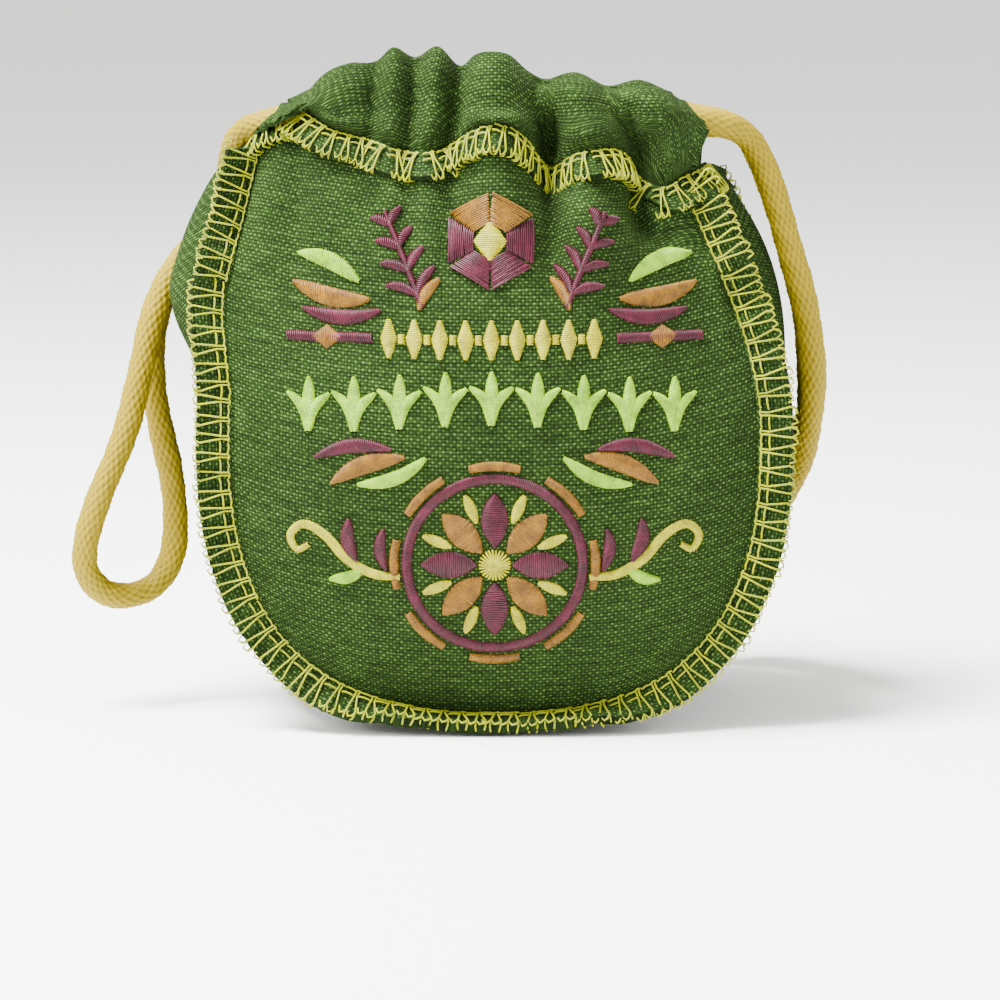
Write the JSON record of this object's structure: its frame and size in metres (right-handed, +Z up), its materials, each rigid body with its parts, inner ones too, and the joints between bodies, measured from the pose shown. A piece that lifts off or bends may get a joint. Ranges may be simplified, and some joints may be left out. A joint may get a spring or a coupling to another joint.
{
  "type": "drawstring bag",
  "caption": "Small round-bottomed canvas drawstring pouch with outside overlocked seams, an embroidered front panel, a gathered casing and a braided cord",
  "frame": {"origin": "middle of the base, on the floor", "axes": "+Z up, out of the mouth; the embroidered front panel faces -Y; +X to the right, seen from the front"},
  "size_m": [0.1473, 0.0831, 0.1304],
  "materials": {
    "canvas": "woven cotton canvas, matte",
    "overlock_thread": "spun polyester thread, matte",
    "burgundy_thread": "rayon satin stitch, silky",
    "gold_thread": "rayon satin stitch, silky",
    "yellow_thread": "rayon satin stitch, silky",
    "lime_thread": "rayon satin stitch, silky",
    "cord": "braided polyester cord, soft sheen"
  },
  "bodies": {
    "bag": {"front_panel": "canvas", "back_panel": "canvas", "gusset": "canvas", "front_seam": "overlock_thread", "back_seam": "overlock_thread", "embroidery_burgundy": "burgundy_thread", "embroidery_gold": "gold_thread", "embroidery_yellow": "yellow_thread", "embroidery_lime": "lime_thread"},
    "front_lip": {"casing_front": "canvas", "top_seam_front": "overlock_thread", "cord_front_run": "cord"},
    "back_lip": {"casing_back": "canvas", "top_seam_back": "overlock_thread", "cord_back_run": "cord"},
    "left_loop": {"cord_left_loop": "cord"},
    "right_loop": {"cord_right_leg_front": "cord", "cord_right_leg_back": "cord", "cord_knot": "cord", "cord_tails": "cord"}
  },
  "joints": [
    {"name": "mouth", "type": "slide", "parent": "bag", "child": "front_lip", "axis": [0, -1, 0], "range_m": [-0.004, 0.014], "deforming": ["cord_front_run"]},
    {"name": "mouth_back", "type": "slide", "parent": "bag", "child": "back_lip", "axis": [0, 1, 0], "range_m": [-0.004, 0.014], "deforming": ["cord_back_run"]},
    {"name": "left_draw", "type": "slide", "parent": "bag", "child": "left_loop", "axis": [0, 0, 1], "range_m": [-0.004, 0.014], "deforming": ["cord_left_loop"]},
    {"name": "right_draw", "type": "slide", "parent": "bag", "child": "right_loop", "axis": [0, 0, 1], "range_m": [-0.004, 0.014], "deforming": ["cord_right_leg_front", "cord_right_leg_back"]}
  ],
  "couplings": [
    {"joint": "mouth_back", "follows": "mouth", "ratio": 1},
    {"joint": "left_draw", "follows": "mouth", "ratio": 1},
    {"joint": "right_draw", "follows": "mouth", "ratio": 1}
  ]
}
